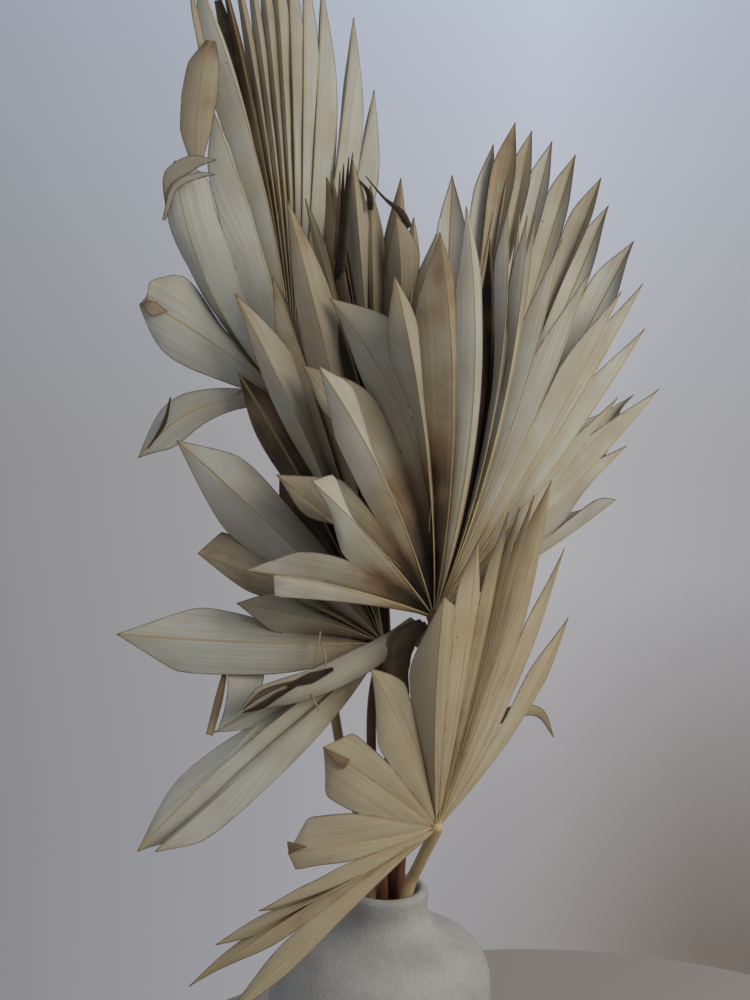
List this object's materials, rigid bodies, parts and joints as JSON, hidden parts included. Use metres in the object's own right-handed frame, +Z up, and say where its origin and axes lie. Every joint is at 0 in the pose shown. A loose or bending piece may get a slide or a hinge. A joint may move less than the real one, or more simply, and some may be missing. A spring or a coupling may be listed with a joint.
{
  "type": "dried palm suns in a bottle vase",
  "caption": "Dried, trimmed fan palm leaves with pleated, pointed segments, standing on their stalks in a round matt stoneware bottle vase with a narrow neck.",
  "frame": {"origin": "centre of the vase's base, on the surface that it stands on", "axes": "+Z up, +X to the right as seen from the front, +Y to the back; the lowest leaf hangs over the vase's front (-Y)"},
  "size_m": [0.4364, 0.3303, 0.9362],
  "materials": {
    "stoneware": "matt unglazed off-white, slightly rough",
    "pale_palm_leaf": "dry matt grey-green leaf with tan midribs",
    "tan_palm_leaf": "dry matt cream-tan leaf with brown cracks",
    "shaded_palm_leaf": "dry matt grey-brown leaf",
    "tan_stalk": "dry fibrous stalk",
    "red_brown_stalk": "dry fibrous stalk"
  },
  "bodies": {
    "root": {"vase": "stoneware", "right_leaf_stem": "red_brown_stalk", "right_leaf_blade": "pale_palm_leaf", "front_leaf_stem": "tan_stalk", "front_leaf_blade": "tan_palm_leaf", "middle_left_leaf_stem": "red_brown_stalk", "middle_left_leaf_blade": "pale_palm_leaf", "back_leaf_stem": "red_brown_stalk", "back_leaf_blade": "shaded_palm_leaf", "upper_left_leaf_stem": "tan_stalk", "upper_left_leaf_blade": "pale_palm_leaf"}
  },
  "joints": []
}
